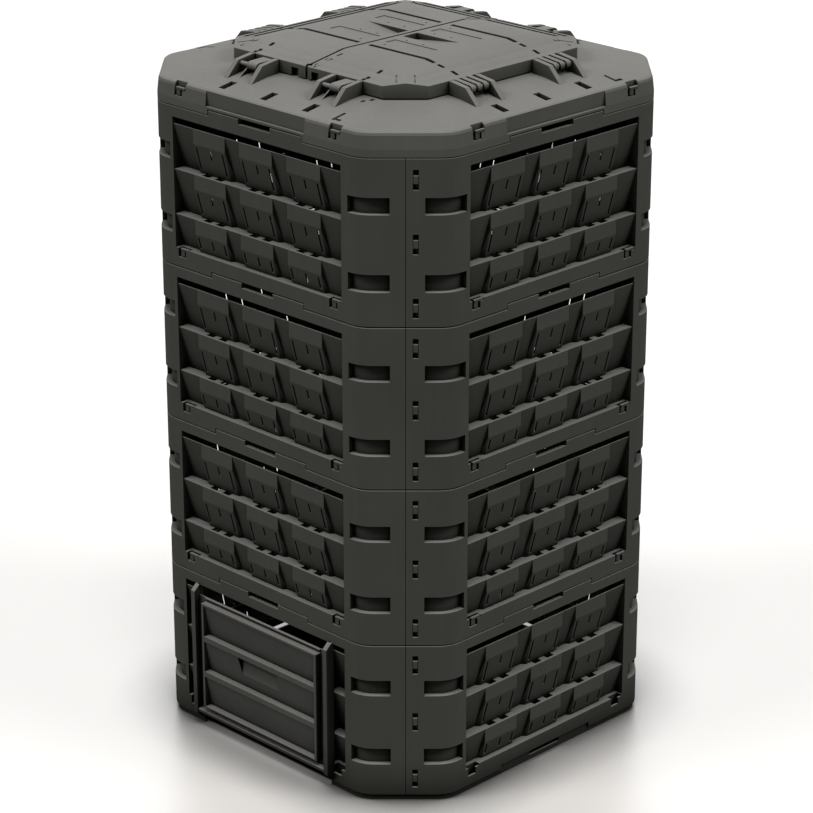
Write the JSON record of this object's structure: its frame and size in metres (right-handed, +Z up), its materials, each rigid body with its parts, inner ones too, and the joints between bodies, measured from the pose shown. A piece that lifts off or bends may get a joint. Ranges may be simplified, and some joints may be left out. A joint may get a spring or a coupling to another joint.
{
  "type": "compost bin",
  "caption": "Tall octagonal garden compost bin of stacked louvred plastic panels, with a hinged two-leaf lid and a sliding emptying hatch.",
  "frame": {"origin": "centre of the object's box at the ground, under the middle of the lowest tier's spigots", "axes": "+Z up, -Y out of the side with the hatch, +X to the right of someone who faces the hatch"},
  "size_m": [0.8, 0.817, 1.418],
  "materials": {
    "panel_plastic": "fine matt texture, dark warm grey",
    "lid_plastic": "fine matt texture, dark warm grey",
    "door_plastic": "fine matt texture, dark grey"
  },
  "bodies": {
    "bin_body": {"tier1_panel_front": "panel_plastic", "tier1_panel_right": "panel_plastic", "tier1_panel_back": "panel_plastic", "tier1_panel_left": "panel_plastic", "tier2_panel_front": "panel_plastic", "tier2_panel_right": "panel_plastic", "tier2_panel_back": "panel_plastic", "tier2_panel_left": "panel_plastic", "tier3_panel_front": "panel_plastic", "tier3_panel_right": "panel_plastic", "tier3_panel_back": "panel_plastic", "tier3_panel_left": "panel_plastic", "tier4_panel_front": "panel_plastic", "tier4_panel_right": "panel_plastic", "tier4_panel_back": "panel_plastic", "tier4_panel_left": "panel_plastic", "lid_rim": "lid_plastic"},
    "leaf_right": {"lid_leaf_right": "lid_plastic"},
    "leaf_left": {"lid_leaf_left": "lid_plastic"},
    "hatch": {"hatch_door": "door_plastic"}
  },
  "joints": [
    {"name": "leaf_right_hinge", "type": "hinge", "parent": "bin_body", "child": "leaf_right", "pos_m": [0.3, 0.0085, 1.388], "axis": [0, 1, 0], "range_deg": [0, 110]},
    {"name": "leaf_left_hinge", "type": "hinge", "parent": "bin_body", "child": "leaf_left", "pos_m": [-0.3, 0.0085, 1.388], "axis": [0, -1, 0], "range_deg": [0, 110]},
    {"name": "hatch_slide", "type": "slide", "parent": "bin_body", "child": "hatch", "axis": [0, 0, 1], "range_m": [0, 0.19]}
  ]
}
